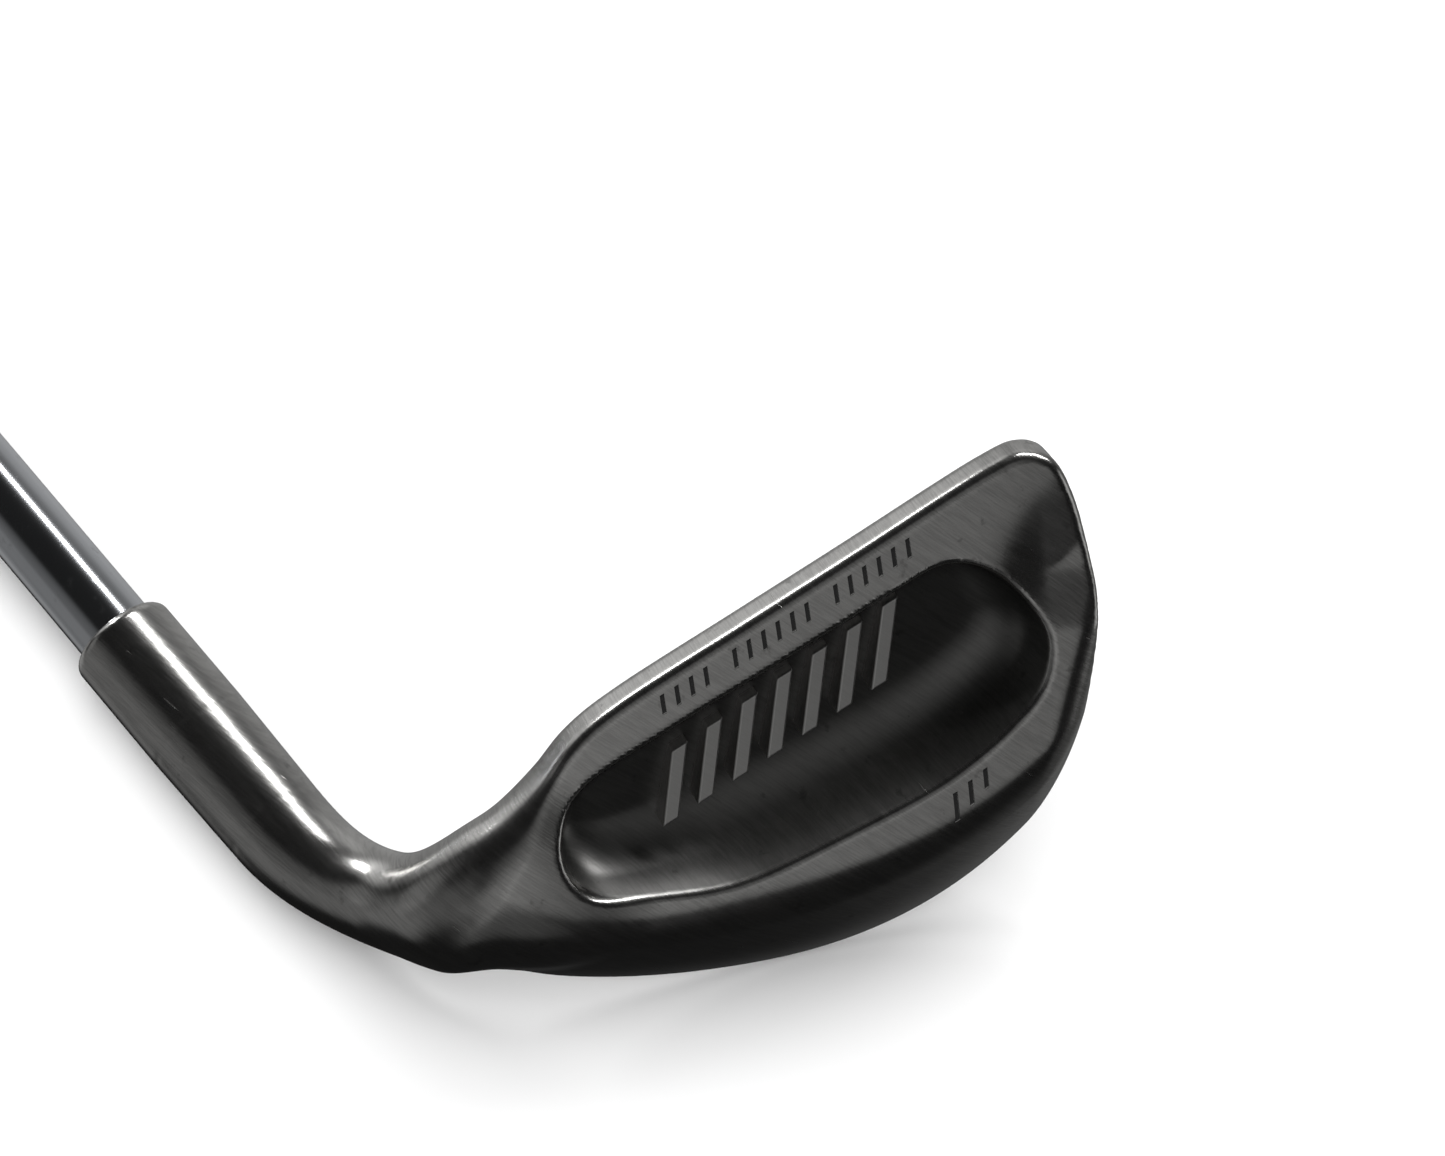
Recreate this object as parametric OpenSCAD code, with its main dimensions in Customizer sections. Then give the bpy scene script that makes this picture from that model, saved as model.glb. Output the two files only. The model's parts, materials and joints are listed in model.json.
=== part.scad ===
// Iron golf club: a cavity-back sand iron with a stepped steel shaft and a rubber grip.
// It lies as it would on a table: face down on its leading edge, with the barrel of the hosel
// and the rim of the grip's cap on the table too.
//
// Three frames are used, each right handed:
//   blade  u along the score lines towards the toe, v up the face, w from the face to the back
//   shaft  +Z up the shaft from where its axis meets the ground at address
//   row    the lying club, +Z up, butt towards -X, toe towards +Y

/* [Blade] */
// Loft, the angle between the face and the shaft's upright plane, in degrees
loft = 55; // [53:0.5:57]
// Lie, the angle between the shaft and the ground, in degrees
lie = 64; // [62:0.5:66]
// Distance from the face plane to the shaft axis where it meets the ground
axis_offset = 3.1; // [2.5:0.1:4]
// Thickness of the head at its topline
topline_thick = 4.8; // [4.3:0.1:6]
// How much thicker the rim gets for each millimetre down from the topline
rim_taper = 0.36; // [0.33:0.01:0.39]
// Steel left between the cavity floor and the face
face_thick = 3.6; // [3:0.1:4]
// Width of the sole, from the leading edge to the trailing edge
sole_w = 21.5; // [19:0.5:24]
// Angle of the sole to the face plane, in degrees
sole_angle = 41; // [38:0.5:44]
// How far the sole bulges below the chord between its two edges
sole_camber = 1.9; // [1:0.1:3]

/* [Score lines] */
// Number of score lines in the face
groove_count = 11; // [6:1:13]
// Distance between score lines
groove_pitch = 3.6; // [3.4:0.1:4]
// Width of a score line
groove_w = 0.8; // [0.6:0.05:0.9]
// Depth of a score line
groove_deep = 0.4; // [0.3:0.05:0.5]

/* [Hosel] */
// Distance from the ground point to the hosel's lip, along the shaft axis
hosel_top = 60.2; // [58:0.1:64]
// Outside diameter of the hosel's barrel
hosel_lip_d = 12.6; // [12.3:0.1:13.4]
// Length of the barrel, below its lip
barrel_len = 14; // [8:1:18]
// Outside diameter of the hosel where the neck begins
hosel_base_d = 12; // [11.8:0.1:12.4]
// Radius of the rounded lip
lip_r = 1.2; // [0.6:0.1:1.4]
// Diameter of the bore that takes the shaft
bore_d = 9.8; // [9.7:0.05:10]
// Depth of the bore
bore_deep = 32; // [28:1:34]

/* [Shaft] */
// Outside diameter of the shaft's parallel tip
tip_d = 9.4; // [9.4:0.05:9.6]
// Outside diameter of the shaft's butt
butt_d = 15.24; // [14.7:0.02:15.6]
// Length of the shaft
shaft_len = 875; // [850:5:900]
// Length of the parallel tip section
tip_len = 230; // [200:5:250]
// Number of steps between tip and butt
step_count = 13; // [10:1:14]
// Length of one step
step_len = 28; // [24:0.5:29]
// Wall thickness at the tip
tip_wall = 0.6; // [0.5:0.05:0.9]
// Wall thickness at the butt
butt_wall = 0.35; // [0.3:0.05:0.5]
// Length of the swing weight plug in the tip
weight_len = 22; // [12:1:28]

/* [Grip] */
// Length of the moulded grip, without its cap
grip_len = 262; // [255:1:264]
// Outside diameter of the grip where the cap meets it
grip_top_d = 25.6; // [24:0.2:27]
// Outside diameter at the middle of the grip
grip_mid_d = 20.6; // [19.5:0.1:22]
// Outside diameter just above the rounded mouth
grip_mouth_d = 17.4; // [17:0.1:18]
// Outside diameter of the cap
cap_d = 28.4; // [27.4:0.2:30]
// Thickness of the cap's flange
cap_thick = 3.2; // [2.6:0.2:4]
// Diameter of the vent hole in the cap
vent_d = 3; // [2:0.5:4]
// Thickness of the tape between shaft and grip
tape_thick = 0.2; // [0.15:0.05:0.3]

/* [Hidden] */
$fn = 64;
tiny = 0.01;

// Outline of the blade on the face plane: heel, topline, toe, then well below the sole,
// which is cut to its own shape afterwards
blade_points = [
    [-4, -8], [-4, 8], [0, 15], [4.9, 20.6], [9, 24.2], [12.7, 29], [16.8, 33.6], [23, 37.6],
    [36.8, 44.4], [49.6, 50.7], [59.3, 55.6], [64.8, 58.2], [68.6, 59.4], [71.8, 58.3],
    [73.8, 54.2], [75.1, 48.4], [75.6, 42], [75.6, 34], [75.4, 24], [74.8, 12], [72, -8]];
// Edge of the cavity's floor, and its egg-shaped edge on the rim: the lower wall slopes
floor_points = [
    [15.2, 23.6], [18, 28], [29.2, 33.7], [41.3, 39.4], [53.2, 45.1], [58.9, 47.2], [63.2, 45.6],
    [66.4, 41.4], [65.4, 37.4], [61, 33.3], [53, 28.9], [42, 24.8], [32, 21.8], [24, 20.2],
    [18.6, 20], [15.8, 21.4]];
cavity_points = [
    [14, 23.8], [17.3, 28.8], [28.8, 34.7], [41, 40.4], [53, 46.2], [59.2, 48.6], [64.5, 46.9],
    [68.6, 41.8], [68.9, 37], [65.9, 32.3], [57, 26], [45, 21], [33.4, 17], [24.5, 16.3],
    [17.7, 16.9], [14.5, 19.6]];
// Lowest point of the leading edge, and the rocker of the sole on each side of it
sole_low = [39, -2.8];
edge_round = 0.5;
rocker_heel = [0.0045, 0.6e-6];
rocker_toe = [0.008, 3.4e-6];
// The place on the topline where its thickness is measured, and the rim's way down from it
topline_mark = [49.6, 50.7];
topline_angle = 26.2;
// The sole runs up round the lower toe: a point on that surface and its outward direction
toe_bevel_at = [75.3, 13.1, 0];
toe_bevel_out = [0.87, -0.21, 0.45];
// Neck: the control points of its centre line below the hosel, and its half sizes at both ends
neck_from = 30;
neck_pull = 19;
neck_mid = [-0.5, 11.2, -0.8];
neck_end = [8.5, 14.2, 4.2];
neck_end_size = [7, 9.8, 4.3];
neck_waist = 0.15;
neck_steps = 6;
// Score lines: first one, and the margins that they keep from the blade's edges
groove_first = 2.6;
groove_heel = 14.5;
groove_toe = 61;
groove_margin = 5;

shaft_from = hosel_top - bore_deep + 0.5;
shaft_to = shaft_from + shaft_len;
grip_from = shaft_to - grip_len;
club_to = shaft_to + cap_thick;
step_rise = (butt_d - tip_d) / 2 / step_count;
// Each step is a short cone; the wall is even from the butt down over butt_even
step_cone = 1.2;
butt_even = 250;
lip_at = hosel_top - lip_r;
barrel_foot = lip_at - barrel_len;
// Plain dark band on the shaft, just below the grip
band_len = 26;
band_gap = 12;
band_thick = 0.15;
// Grip: its rounded mouth, the flare towards the cap, and where the tape begins
tape_r = butt_d / 2 + tape_thick;
tape_from = 4;
mouth_wall = 0.35;
mouth_len = 2.5;
flare = 1.2;
flare_len = 50;
// The cap's rounded edges
cap_edge = 0.6;
cap_round = 2.2;

// ---- helpers ----

// Point on the smooth curve from b to c, with a and d as their neighbours
function curve_point(a, b, c, d, t) =
    0.5 * (2 * b + (c - a) * t + (2 * a - 5 * b + 4 * c - d) * t ^ 2
           + (3 * b - a - 3 * c + d) * t ^ 3);
// Closed smooth curve through the points p, with n pieces between two of them
function smooth_loop(p, n) = let (m = len(p))
    [for (i = [0:m - 1], k = [0:n - 1])
        curve_point(p[(i + m - 1) % m], p[i], p[(i + 1) % m], p[(i + 2) % m], k / n)];
function bezier(a, b, c, d, t) =
    a * (1 - t) ^ 3 + b * 3 * t * (1 - t) ^ 2 + c * 3 * t ^ 2 * (1 - t) + d * t ^ 3;
function mix(a, b, t) = a * (1 - t) + b * t;

function turn_x(a) = [[1, 0, 0, 0], [0, cos(a), -sin(a), 0], [0, sin(a), cos(a), 0], [0, 0, 0, 1]];
function turn_y(a) = [[cos(a), 0, sin(a), 0], [0, 1, 0, 0], [-sin(a), 0, cos(a), 0], [0, 0, 0, 1]];
function turn_z(a) = [[cos(a), -sin(a), 0, 0], [sin(a), cos(a), 0, 0], [0, 0, 1, 0], [0, 0, 0, 1]];
function shift(p) = [[1, 0, 0, p[0]], [0, 1, 0, p[1]], [0, 0, 1, p[2]], [0, 0, 0, 1]];
function place(m, p) = let (q = m * [p[0], p[1], p[2], 1]) [q[0], q[1], q[2]];

// From the blade frame to the shaft frame
BLADE = turn_x(lie - 90)
      * [[0, sin(loft), cos(loft), 0], [1, 0, 0, 0], [0, cos(loft), -sin(loft), 0], [0, 0, 0, 1]]
      * shift([0, 0, -axis_offset]);

// The shaft axis at height t, seen in the blade frame
function axis_point(t) =
    [-cos(lie) * t, sin(lie) * cos(loft) * t, axis_offset - sin(lie) * sin(loft) * t];
// Where the rim's back plane is over a point of the outline
function rim_w(p) = let (d = [p[0] - topline_mark[0], p[1] - topline_mark[1]])
    topline_thick + rim_taper * (d[0] * sin(topline_angle) - d[1] * cos(topline_angle));
// Rise of the sole above its lowest point
function rocker(u) = let (d = u - sole_low[0], k = d < 0 ? rocker_heel : rocker_toe)
    k[0] * d ^ 2 + k[1] * d ^ 4;

// Point on the sole's curved section at u = sole_low, from 0 at the leading edge to 1
function sole_point(t) = let (
    chord = sole_w, r = chord ^ 2 / (8 * sole_camber) + sole_camber / 2,
    half = asin(chord / 2 / r), a = mix(-half, half, t),
    along = chord / 2 + r * sin(a), out = r * cos(a) - r * cos(half))
    [sole_low[1] + along * cos(sole_angle) - out * sin(sole_angle),
     edge_round + along * sin(sole_angle) + out * cos(sole_angle)];

// ---- how the club lies: on the rim of its cap, the hosel's barrel and the leading edge ----

cap_at = shaft_to + cap_edge;
butt_rise = asin((cap_d - hosel_lip_d) / 2 / (cap_at - barrel_foot));
leading_edge = [for (u = [0:1:74]) place(BLADE, [u, sole_low[1] + rocker(u), edge_round])];
// From the shaft frame to the lying club, for a turn r about its shaft
function lying(r) = turn_y(butt_rise - 90) * turn_z(r);
barrel_z = place(lying(0), [-hosel_lip_d / 2, 0, barrel_foot])[2];
function lowest(points, m) = min([for (p = points) place(m, p)[2]]);
// The turn between a and b that brings the leading edge down to the floor under the barrel
function settle(a, b, n) = let (m = (a + b) / 2)
    n == 0 ? m : lowest(leading_edge, lying(m)) > barrel_z ? settle(m, b, n - 1)
                                                        : settle(a, m, n - 1);
LYING = lying(settle(-20, 30, 24));

// Middle of the club's box on the floor
blade_edge = [for (p = smooth_loop(blade_points, 3), w = [0, rim_w(p)])
    if (p[1] > sole_low[1]) place(LYING * BLADE, [p[0], p[1], w])];
sole_edge = [for (u = [0:1:76], t = [0:0.25:1]) let (q = sole_point(t))
    place(LYING * BLADE, [u, q[0] + rocker(u), q[1]])];
butt_end = [for (r = [-1, 1]) place(LYING, [r * (cap_d / 2 - cap_round), 0, club_to])];
cap_side = place(LYING, [0, 0, cap_at]);
origin = [
    (max([for (p = sole_edge) p[0]]) + min([for (p = butt_end) p[0]])) / 2,
    (max([for (p = blade_edge) p[1]]) + cap_side[1] - cap_d / 2) / 2,
    barrel_z];
ROW = shift(-origin) * LYING;

// ---- head, in the blade frame ----

// Everything above the rocker's curve, whose rise is taken n_scale times
function strip_polygon(n_scale) = concat(
    [for (u = [-40:4:84]) [u, rocker(u) * n_scale]], [[84, 80], [-40, 80]]);

// Everything inside one flat strip of the sole, between two points of its section
module inside_strip(p, q) {
    angle = atan2(q[1] - p[1], q[0] - p[0]);
    translate([0, p[0], p[1]])
        rotate([angle - 90, 0, 0])
            translate([0, 0, -60])
                linear_extrude(120) polygon(strip_polygon(sin(angle)));
}

// Half space in front of the rim's tilted back plane
module inside_rim() {
    tilt = atan(rim_taper);
    translate([topline_mark[0], topline_mark[1], topline_thick])
        rotate([0, 0, topline_angle]) rotate([-tilt, 0, 0])
            translate([-150, -150, -60]) cube([300, 300, 60]);
}

module blade() {
    intersection() {
        linear_extrude(30) polygon(smooth_loop(blade_points, 3));
        inside_rim();
        inside_strip([sole_low[1] + 2 * edge_round, -edge_round], [sole_low[1], edge_round]);
        inside_strip(sole_point(0), sole_point(0.25));
        inside_strip(sole_point(0.25), sole_point(0.5));
        inside_strip(sole_point(0.5), sole_point(0.75));
        inside_strip(sole_point(0.75), sole_point(1));
        inside_toe_bevel();
    }
}

// Half space inside the flat that runs up round the lower toe
module inside_toe_bevel() {
    n = toe_bevel_out;
    translate(toe_bevel_at)
        rotate([0, acos(n[2] / norm(n)), atan2(n[1], n[0])])
            translate([-100, -100, -200]) cube([200, 200, 200]);
}

module cavity() {
    tilt = rim_w([0, 0]);
    on_rim = [[1, 0, 0, 0], [0, 1, 0, 0],
              [rim_w([1, 0]) - tilt, rim_w([0, 1]) - tilt, 1, tilt], [0, 0, 0, 1]];
    hull() {
        translate([0, 0, face_thick]) linear_extrude(tiny) polygon(smooth_loop(floor_points, 3));
        multmatrix(on_rim) linear_extrude(0.5) polygon(smooth_loop(cavity_points, 3));
    }
}

module score_lines() {
    for (i = [0:groove_count - 1]) {
        v = groove_first + i * groove_pitch;
        from = max(groove_heel, topline_mark[0]
                   + (v + groove_margin - topline_mark[1]) / tan(topline_angle));
        translate([from, v, -1]) cube([groove_toe - from, groove_w, 1 + groove_deep]);
    }
}

module neck() {
    centre = function (t) bezier(axis_point(neck_from), axis_point(neck_pull),
                                 neck_mid, neck_end, t);
    size = function (t) mix([1, 1, 1] * hosel_base_d / 2, neck_end_size, t ^ 2.4)
                        * (1 - neck_waist * sin(180 * t));
    for (i = [0:neck_steps - 1])
        hull() for (t = [i, i + 1] / neck_steps)
            translate(centre(t)) scale(size(t)) sphere(1, $fn = 32);
}

// The hosel's outside, in the shaft frame
module hosel_outside() {
    rotate_extrude($fn = 96) polygon(concat(
        [[0, neck_from - 1], [hosel_base_d / 2, neck_from - 1],
         [hosel_lip_d / 2, barrel_foot]],
        [for (a = [0:15:90]) [hosel_lip_d / 2 - lip_r * (1 - cos(a)),
                              hosel_top - lip_r * (1 - sin(a))]],
        [[0, hosel_top]]));
}

module club_head() color("dimgray") multmatrix(ROW) difference() {
    union() {
        multmatrix(BLADE) difference() {
            union() {
                blade();
                neck();
            }
            cavity();
            score_lines();
        }
        hosel_outside();
    }
    translate([0, 0, hosel_top - bore_deep]) cylinder(d = bore_d, h = bore_deep + 1, $fn = 96);
}

// ---- shaft and what is in it ----

module tube(from, to, outer, inner) {
    translate([0, 0, from]) difference() {
        cylinder(r = outer, h = to - from);
        translate([0, 0, -1]) cylinder(r = inner, h = to - from + 2);
    }
}

module hosel_epoxy() color("khaki") multmatrix(ROW)
    tube(shaft_from, lip_at, bore_d / 2, tip_d / 2);

// Radius and height of each corner of the stepped outline, from tip to butt
function step_corners() = concat(
    [[tip_d / 2, shaft_from]],
    [for (i = [0:step_count - 1], k = [0, 1])
        [tip_d / 2 + (i + k) * step_rise, shaft_from + tip_len + i * step_len + k * step_cone]],
    [[butt_d / 2, shaft_to]]);

module shaft() color("silver") multmatrix(ROW) rotate_extrude($fn = 96)
    polygon(concat(step_corners(),
        [[butt_d / 2 - butt_wall, shaft_to],
         [butt_d / 2 - butt_wall, shaft_to - butt_even],
         [tip_d / 2 - tip_wall, shaft_from + tip_len],
         [tip_d / 2 - tip_wall, shaft_from]]));

module tip_weight() color("goldenrod") multmatrix(ROW)
    translate([0, 0, shaft_from]) cylinder(d = tip_d - 2 * tip_wall, h = weight_len);

module shaft_band() color("dimgray") multmatrix(ROW)
    tube(grip_from - band_gap - band_len, grip_from - band_gap,
         butt_d / 2 + band_thick, butt_d / 2);

// ---- grip ----

module grip_tape() color("tan") multmatrix(ROW)
    tube(grip_from + tape_from, shaft_to, tape_r, butt_d / 2);

module grip() color("#262628") multmatrix(ROW) rotate_extrude($fn = 96)
    polygon([
        [tape_r, grip_from], [tape_r + mouth_wall, grip_from],
        [grip_mouth_d / 2, grip_from + mouth_len], [grip_mid_d / 2, grip_from + grip_len / 2],
        [grip_top_d / 2 - flare, shaft_to - flare_len], [grip_top_d / 2, shaft_to],
        [tape_r, shaft_to]]);

module grip_cap() color("#1c1c1e") multmatrix(ROW) difference() {
    rotate_extrude($fn = 96) polygon([
        [0, shaft_to], [cap_d / 2 - cap_edge, shaft_to],
        [cap_d / 2, cap_at], [cap_d / 2, club_to - 2 * cap_edge],
        [cap_d / 2 - cap_edge, club_to - cap_edge / 2], [cap_d / 2 - cap_round, club_to],
        [0, club_to]]);
    translate([0, 0, shaft_to - 1]) cylinder(d = vent_d, h = cap_thick + 2);
}

club_head();
hosel_epoxy();
shaft();
tip_weight();
shaft_band();
grip_tape();
grip();
grip_cap();
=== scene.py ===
import json
import math

import bmesh
import bpy
import numpy as np
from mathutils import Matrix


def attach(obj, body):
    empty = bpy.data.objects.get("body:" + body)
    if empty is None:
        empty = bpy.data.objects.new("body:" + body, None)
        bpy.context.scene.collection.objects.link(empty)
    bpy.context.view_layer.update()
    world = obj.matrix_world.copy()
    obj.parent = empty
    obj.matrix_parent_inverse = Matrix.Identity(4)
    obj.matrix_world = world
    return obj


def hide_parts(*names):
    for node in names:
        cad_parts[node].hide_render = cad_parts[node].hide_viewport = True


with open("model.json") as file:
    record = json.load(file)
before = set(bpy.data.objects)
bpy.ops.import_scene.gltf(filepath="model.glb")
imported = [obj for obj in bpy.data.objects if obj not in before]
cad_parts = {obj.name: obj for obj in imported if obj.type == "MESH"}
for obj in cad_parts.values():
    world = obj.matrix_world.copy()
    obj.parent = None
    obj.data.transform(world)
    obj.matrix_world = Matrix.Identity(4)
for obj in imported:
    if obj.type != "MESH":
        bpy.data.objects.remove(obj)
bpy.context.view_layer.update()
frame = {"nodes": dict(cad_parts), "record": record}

import openvdb
from mathutils import Matrix, Vector

MM = 0.001
GRAIN = 0.42
FAR = 1e9

# ---- where things are: the blade's axes, from the record's mounts ----

LOFT = math.radians(55)
LIE = math.radians(64)
AXIS_OFFSET = 3.1
BARREL_MIDDLE = 52.0
MOUNTS = {mount["name"]: mount for mount in frame["record"]["mounts"]}
SHAFT_UP = np.array([-math.cos(LIE), math.sin(LIE) * math.cos(LOFT), -math.sin(LIE) * math.sin(LOFT)])


def blade_axes():
    """Columns u, v and w of the blade in the club's frame, and the blade's origin there, in mm."""
    w = -np.array(MOUNTS["face"]["axis"])
    shaft = np.array(MOUNTS["hosel_barrel"]["axis"])
    flat = shaft - (shaft @ w) * w
    flat /= np.linalg.norm(flat)
    side = np.cross(w, flat)
    p, q = SHAFT_UP[:2] / np.linalg.norm(SHAFT_UP[:2])
    axes = np.column_stack([p * flat - q * side, q * flat + p * side, w])
    middle = np.array(MOUNTS["hosel_barrel"]["pos_m"]) / MM
    return axes, middle - axes @ (SHAFT_UP * BARREL_MIDDLE + [0, 0, AXIS_OFFSET])


AXES, ORIGIN = blade_axes()
SHAFT_AXIS = AXES @ SHAFT_UP
SHAFT_ZERO = ORIGIN + AXES @ np.array([0, 0, AXIS_OFFSET])


def from_blade(points):
    """Points of the blade, in mm, as places in metres."""
    return (np.asarray(points) @ AXES.T + ORIGIN) * MM


# ---- sizes of the head, in mm: the CAD part's outlines, with the sole and neck trued up ----

BLADE_EDGE = [
    [-4, -8], [-4, 8], [0, 15], [4.9, 20.6], [9, 24.2], [12.7, 29], [16.8, 33.6], [23, 37.6],
    [36.8, 44.4], [49.6, 50.7], [59.3, 55.6], [64.8, 58.2], [68.6, 59.4], [71.8, 58.3],
    [73.8, 54.2], [75.1, 48.4], [75.6, 42], [75.6, 34], [75.4, 24], [74.8, 12], [72, -8]]
FLOOR_EDGE = [
    [15.2, 23.6], [18, 28], [29.2, 33.7], [41.3, 39.4], [53.2, 45.1], [58.9, 47.2], [63.2, 45.6],
    [66.4, 41.4], [65.4, 37.4], [61, 33.3], [53, 28.9], [42, 24.8], [32, 21.8], [24, 20.2],
    [18.6, 20], [15.8, 21.4]]
RIM_EDGE = [
    [14, 23.8], [17.3, 28.8], [28.8, 34.7], [41, 40.4], [53, 46.2], [59.2, 48.6], [64.5, 46.9],
    [68.6, 41.8], [68.9, 37], [65.9, 32.3], [57, 26], [45, 21], [33.4, 17], [24.5, 16.3],
    [17.7, 16.9], [14.5, 19.6]]
TOPLINE_THICK = 4.8
RIM_TAPER = 0.36
TOPLINE_MARK = np.array([49.6, 50.7])
TOPLINE_ANGLE = math.radians(26.2)
ALONG = np.array([math.cos(TOPLINE_ANGLE), math.sin(TOPLINE_ANGLE)])
ACROSS = np.array([-ALONG[1], ALONG[0]])
FACE_THICK = 3.6
SOLE_WIDTH = 21.5
SOLE_ANGLE = math.radians(41)
SOLE_CAMBER = 1.2
SOLE_LOW = (39, -2.8, 0.5)
ROCKER_HEEL = (0.0051, 0.9e-6)
ROCKER_TOE = (0.009, 3.9e-6)
TOE_AT = np.array([75.3, 13.1, 0])
TOE_OUT = np.array([0.87, -0.21, 0.45]) / np.linalg.norm([0.87, -0.21, 0.45])
NECK_FROM = 30.0
NECK_PULL = 19.0
NECK_MIDDLE = np.array([-0.5, 10.1, -0.8])
NECK_END = np.array([9.5, 15.4, 6.3])
NECK_END_SIZE = np.array([8.5, 9.2, 6.0])
NECK_WAIST = 0.15
NECK_STEPS = 30
NECK_BARREL_STEPS = 10
NECK_SWELL = 2.4
NECK_TOP_ROUND = 5.0
NECK_SOLE_ROUND = 4.0
NECK_DIP = 0.3
HOSEL_TOP = 60.2
LIP_ROUND = 1.2
BARREL_FOOT = 45.0
BARREL_R = 6.3
HOSEL_R = 6.0
BORE_R = 4.9
BORE_FOOT = 28.2
NECK_LIMIT = 29.0
CAVITY_ROUND = 0.55
BORE_ROUND = 0.35
EDGE_ROUND = 1.0
FACE_ROUND = 1.6
SOLE_ROUND = 2.2
BEVEL_ROUND = 3.0
TOE_TURN_AT = (64, 50.3)
TOE_TURN_SLOPE = 0.20


# ---- distance fields ----

def closed_curve(points, steps):
    """Smooth closed curve through the points."""
    b = np.array(points, float)
    a, c, d = np.roll(b, 1, 0), np.roll(b, -1, 0), np.roll(b, -2, 0)
    rows = []
    for t in np.arange(steps) / steps:
        rows.append(0.5 * (2 * b + (c - a) * t + (2 * a - 5 * b + 4 * c - d) * t ** 2
                           + (3 * b - a - 3 * c + d) * t ** 3))
    return np.stack(rows, 1).reshape(-1, 2)


class Outline:
    """Signed distance to a closed curve, negative inside, read from a fine table."""

    LOW = np.array([-45.0, -20.0])
    HIGH = np.array([90.0, 75.0])
    STEP = 0.25

    def __init__(self, points):
        curve = closed_curve(points, 8)
        x, y = np.meshgrid(np.arange(self.LOW[0], self.HIGH[0], self.STEP),
                           np.arange(self.LOW[1], self.HIGH[1], self.STEP), indexing="ij")
        best = np.full(x.shape, FAR)
        inside = np.zeros(x.shape, bool)
        for (ax, ay), (bx, by) in zip(curve, np.roll(curve, -1, 0)):
            ex, ey = bx - ax, by - ay
            t = np.clip(((x - ax) * ex + (y - ay) * ey) / (ex * ex + ey * ey), 0, 1)
            best = np.minimum(best, (x - ax - t * ex) ** 2 + (y - ay - t * ey) ** 2)
            if ey != 0:
                inside ^= ((ay <= y) != (by <= y)) & (x < ax + ex * (y - ay) / ey)
        self.table = np.where(inside, -1, 1) * np.sqrt(best)

    def __call__(self, u, v):
        i = np.clip((u - self.LOW[0]) / self.STEP, 0, self.table.shape[0] - 1.001)
        j = np.clip((v - self.LOW[1]) / self.STEP, 0, self.table.shape[1] - 1.001)
        i0, j0 = i.astype(int), j.astype(int)
        fi, fj = i - i0, j - j0
        t = self.table
        return ((t[i0, j0] * (1 - fi) + t[i0 + 1, j0] * fi) * (1 - fj)
                + (t[i0, j0 + 1] * (1 - fi) + t[i0 + 1, j0 + 1] * fi) * fj)


def both(a, b, r):
    """Inside both a and b, with the edge between them rounded to radius r."""
    return (np.minimum(np.maximum(a, b), -r)
            + np.hypot(np.maximum(a + r, 0), np.maximum(b + r, 0)))


def either(a, b, r):
    """Inside a or b, with a fillet of about r between them."""
    h = np.maximum(r - np.abs(a - b), 0) / r
    return np.minimum(a, b) - h * h * r / 4


def ease(t):
    """From 0 to 1 with a soft start and end."""
    t = np.clip(t, 0, 1)
    return t * t * (3 - 2 * t)


blade_edge = Outline(BLADE_EDGE)
floor_edge = Outline(FLOOR_EDGE)
rim_edge = Outline(RIM_EDGE)


def rim_height(u, v):
    """Where the rim's back plane is, above the face."""
    fall = (u - TOPLINE_MARK[0]) * ACROSS[0] + (v - TOPLINE_MARK[1]) * ACROSS[1]
    return TOPLINE_THICK - RIM_TAPER * fall


def rocker(u):
    """How far the sole rises towards heel and toe."""
    d = u - SOLE_LOW[0]
    heel = ROCKER_HEEL[0] * d ** 2 + ROCKER_HEEL[1] * d ** 4
    toe = ROCKER_TOE[0] * d ** 2 + ROCKER_TOE[1] * d ** 4
    return np.where(d < 0, heel, toe)


def sole_distance(u, v, w):
    """Distance outside the round bulge of the sole."""
    r = SOLE_WIDTH ** 2 / (8 * SOLE_CAMBER) + SOLE_CAMBER / 2
    out = np.array([-math.sin(SOLE_ANGLE), math.cos(SOLE_ANGLE)])
    chord = np.array([math.cos(SOLE_ANGLE), math.sin(SOLE_ANGLE)])
    middle = np.array(SOLE_LOW[1:]) + chord * SOLE_WIDTH / 2 - out * (r - SOLE_CAMBER)
    y, z = v - rocker(u) - middle[0], w - middle[1]
    forward, outward = y * chord[0] + z * chord[1], y * out[0] + z * out[1]
    half = math.asin(SOLE_WIDTH / 2 / r)
    angle = np.clip(np.arctan2(forward, outward), -half, half)
    return forward * np.sin(angle) + outward * np.cos(angle) - r


def neck_ovals():
    """Centres and half sizes of the ovals from the hosel down into the blade."""
    top = SHAFT_UP * BARREL_FOOT + [0, 0, AXIS_OFFSET]
    a = SHAFT_UP * NECK_FROM + [0, 0, AXIS_OFFSET]
    b = SHAFT_UP * NECK_PULL + [0, 0, AXIS_OFFSET]
    ovals = []
    for t in np.arange(NECK_BARREL_STEPS, 0, -1) / NECK_BARREL_STEPS:
        radius = HOSEL_R + (BARREL_R - HOSEL_R) * t
        ovals.append((a * (1 - t) + top * t, np.full(3, radius)))
    for i in range(NECK_STEPS + 1):
        t = i / NECK_STEPS
        centre = (a * (1 - t) ** 3 + b * 3 * t * (1 - t) ** 2
                  + NECK_MIDDLE * 3 * t ** 2 * (1 - t) + NECK_END * t ** 3)
        size = HOSEL_R * (1 - t ** NECK_SWELL) + NECK_END_SIZE * t ** NECK_SWELL
        ovals.append((centre, size * (1 - NECK_WAIST * math.sin(math.pi * t) ** 1.7)))
    return ovals


NECK_OVALS = neck_ovals()


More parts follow.
